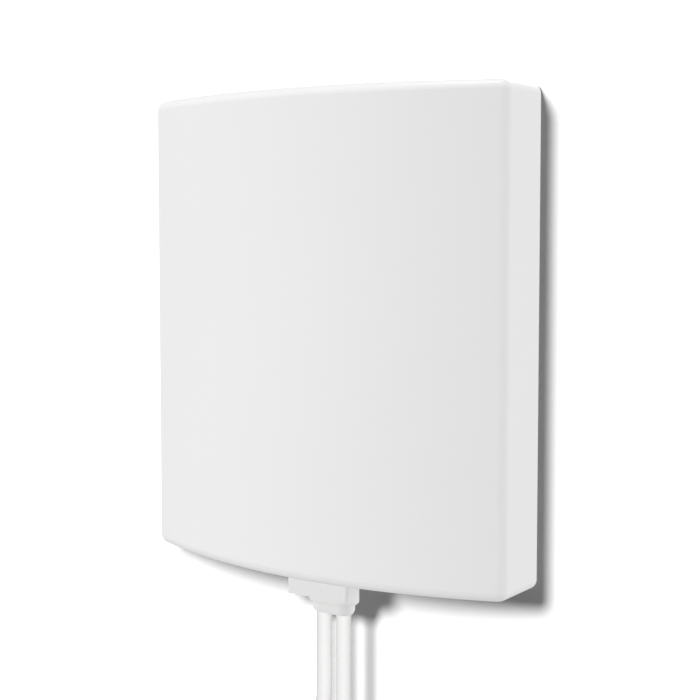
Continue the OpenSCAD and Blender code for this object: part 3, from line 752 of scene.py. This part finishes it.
def coil_tie(up):
    """Hook-and-loop tape once around both coils, its end lying over its start on the front."""
    node = "coil_tie_top" if up else "coil_tie_bottom"
    low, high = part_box(node)
    half_w = (high.x - low.x) / 2
    half_t = TIE_T / 2
    r = 2.5 * MM
    near, far = sorted((abs(low.z - COIL_Z), abs(high.z - COIL_Z)))
    front, back = low.y + half_t, high.y - half_t

    # The tape's middle line as (y, distance from the coils' centre), from its start on the front
    start = near + (far - near) * 0.30
    line = [(front, start)]
    for cy, cz, a0 in (
        (front + r, near + half_t + r, math.pi),
        (back - r, near + half_t + r, 1.5 * math.pi),
        (back - r, far - half_t - r, 0),
        (front + r, far - half_t - r, 0.5 * math.pi),
    ):
        turns = [a0 + math.pi / 2 * i / 8 for i in range(9)]
        line += [(cy + r * math.cos(a), cz + r * math.sin(a)) for a in turns]
    # Millimetres past the start, and how far the tape is lifted over itself there
    over = ((7, 0), (6, 0.25), (4.6, 0.8), (3.4, 1), (-1, 1), (-4.5, 0.98))
    lift = TIE_T * 0.95
    line += [(front - lift * raised, start + along * MM) for along, raised in over]

    rings = []
    last = len(line) - 1
    for i, (y, z) in enumerate(line):
        ahead, behind = line[min(i + 1, last)], line[max(i - 1, 0)]
        dy, dz = ahead[0] - behind[0], ahead[1] - behind[1]
        size = math.hypot(dy, dz)
        ny, nz = -dz / size, dy / size
        ring = []
        for x, out in ((-half_w, -1), (half_w, -1), (half_w, 1), (-half_w, 1)):
            py, pz = y + ny * out * half_t, z + nz * out * half_t
            ring.append((x, py, COIL_Z + (pz if up else -pz)))
        rings.append(ring)
    piece = skin(node + "_tape", rings)
    smooth(piece, angle=50, bevel=0.2 * MM, bevel_angle=60)
    return finish_piece(piece, "tie_fabric", node)


coil_tie(True)
coil_tie(False)


# ---- Stage ----

def sun(name, azimuth, elevation, energy, spread, targets, glossy=True, blockers=()):
    """A distant light that only the targets receive, and that only the blockers, if any, can block.

    The azimuth runs from the front towards +X, and all the angles are in degrees.
    """
    data = bpy.data.lights.new(name, "SUN")
    data.energy = energy
    data.angle = math.radians(spread)
    light = bpy.data.objects.new(name, data)
    scene.collection.objects.link(light)
    az, el = math.radians(azimuth), math.radians(elevation)
    towards = Vector((math.sin(az) * math.cos(el), -math.cos(az) * math.cos(el), math.sin(el)))
    light.rotation_mode = "QUATERNION"
    light.rotation_quaternion = (-towards).to_track_quat("-Z", "Y")
    group = bpy.data.collections.new(name + "_targets")
    for target in targets:
        group.objects.link(target)
    light.light_linking.receiver_collection = group
    light.visible_glossy = glossy
    if blockers:
        shade = bpy.data.collections.new(name + "_blockers")
        for blocker in blockers:
            shade.objects.link(blocker)
        light.light_linking.blocker_collection = shade


def one_sided(name, colour):
    """A matt surface that is clear from behind, so that it never hides the object."""
    material, tree, shader = new_material(name)
    shader.inputs["Base Color"].default_value = (colour, colour, colour, 1)
    shader.inputs["Roughness"].default_value = 1
    shader.inputs["Specular IOR Level"].default_value = 0
    facing = tree.nodes.new("ShaderNodeNewGeometry")
    clear = tree.nodes.new("ShaderNodeBsdfTransparent")
    mix = tree.nodes.new("ShaderNodeMixShader")
    tree.links.new(facing.outputs["Backfacing"], mix.inputs["Fac"])
    tree.links.new(shader.outputs["BSDF"], mix.inputs[1])
    tree.links.new(clear.outputs["BSDF"], mix.inputs[2])
    tree.links.new(mix.outputs["Shader"], tree.nodes["Material Output"].inputs["Surface"])
    return material


def backdrop():
    """A pale floor, and a pale wall that is seen from the front only and casts no light or shadow.

    The wall is in two halves so that each can have its own light; their seam is hidden by a cable.
    """
    reach = 6.0
    floor_z = cad_low.z - 0.05
    wall_y = 1 * MM
    seam_x = -CABLE_X
    albedo = 0.3
    corners = [(x * reach, y * reach, floor_z) for x, y in ((-1, -1), (1, -1), (1, 1), (-1, 1))]
    screens = [mesh_object("floor", corners, [(0, 1, 2, 3)])]
    for name, x0, x1 in (("wall_left", -reach, seam_x), ("wall_right", seam_x, reach)):
        corners = [
            (x0, wall_y, floor_z), (x1, wall_y, floor_z), (x1, wall_y, reach), (x0, wall_y, reach),
        ]
        screens.append(mesh_object(name, corners, [(0, 1, 2, 3)]))
    for screen in screens:
        screen.data.materials.append(one_sided(screen.name, albedo))
        screen.visible_shadow = screen.visible_diffuse = False
        screen.visible_glossy = screen.visible_transmission = False
    return screens


def world_light(strength):
    """Even white light, with plain white behind everything."""
    world = bpy.data.worlds.new("world")
    scene.world = world
    world.use_nodes = True
    tree = world.node_tree
    light = tree.nodes["Background"]
    light.inputs["Color"].default_value = (1, 1, 1, 1)
    light.inputs["Strength"].default_value = strength
    seen = tree.nodes.new("ShaderNodeBackground")
    seen.inputs["Color"].default_value = (1, 1, 1, 1)
    seen.inputs["Strength"].default_value = 1
    path = tree.nodes.new("ShaderNodeLightPath")
    mix = tree.nodes.new("ShaderNodeMixShader")
    tree.links.new(path.outputs["Is Camera Ray"], mix.inputs["Fac"])
    tree.links.new(light.outputs["Background"], mix.inputs[1])
    tree.links.new(seen.outputs["Background"], mix.inputs[2])
    tree.links.new(mix.outputs["Shader"], tree.nodes["World Output"].inputs["Surface"])


def lowest(piece):
    return min((piece.matrix_world @ vertex.co).z for vertex in piece.data.vertices)


def studio():
    scene.view_settings.view_transform = "Standard"
    scene.view_settings.look = "None"
    world_light(0.52)
    cords = [piece for piece, _ in cables.values()]
    rest = [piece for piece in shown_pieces() if piece not in cords]
    panel = [piece for piece in rest if lowest(piece) > EXIT_Z - MM]
    floor, wall_left, wall_right = backdrop()

    # Each sun: azimuth, elevation, energy, spread, what it lights.
    # The backdrop's own lights make the tight shadow beside and below the panel; what hangs below
    # the panel blocks only the first of each pair, so its shadow is lighter.
    sun("shadow", -13.5, 20, 7.5, 18, [floor, wall_right])
    sun("panel_shadow", -13.5, 20, 5, 18, [floor, wall_right], blockers=panel)
    sun("left_shadow", 27, 20.5, 5.5, 14, [wall_left])
    sun("left_panel_shadow", 27, 20.5, 7.5, 14, [wall_left], blockers=panel)
    sun("floor_fill", 0, 80, 9, 40, [floor])

    # The object's lights: the front is brightest at the left, the cables along their middle
    sun("left_key", -32, 5, 1.42, 20, rest, glossy=False)
    sun("right_edge", 115, 0, 1.55, 30, rest, glossy=False)
    sun("cable_key", 37, 8, 1.5, 20, cords)
    sun("cable_side", -80, 10, 0.2, 30, cords)
    sun("gloss", 60, 45, 0.15, 30, rest)
    sun("top", 0, 80, 1.3, 30, rest + cords)
    sun("rear", 200, 25, 1.0, 30, rest + cords)
    sun("below", -10, -55, 0.35, 40, rest + cords)


studio()
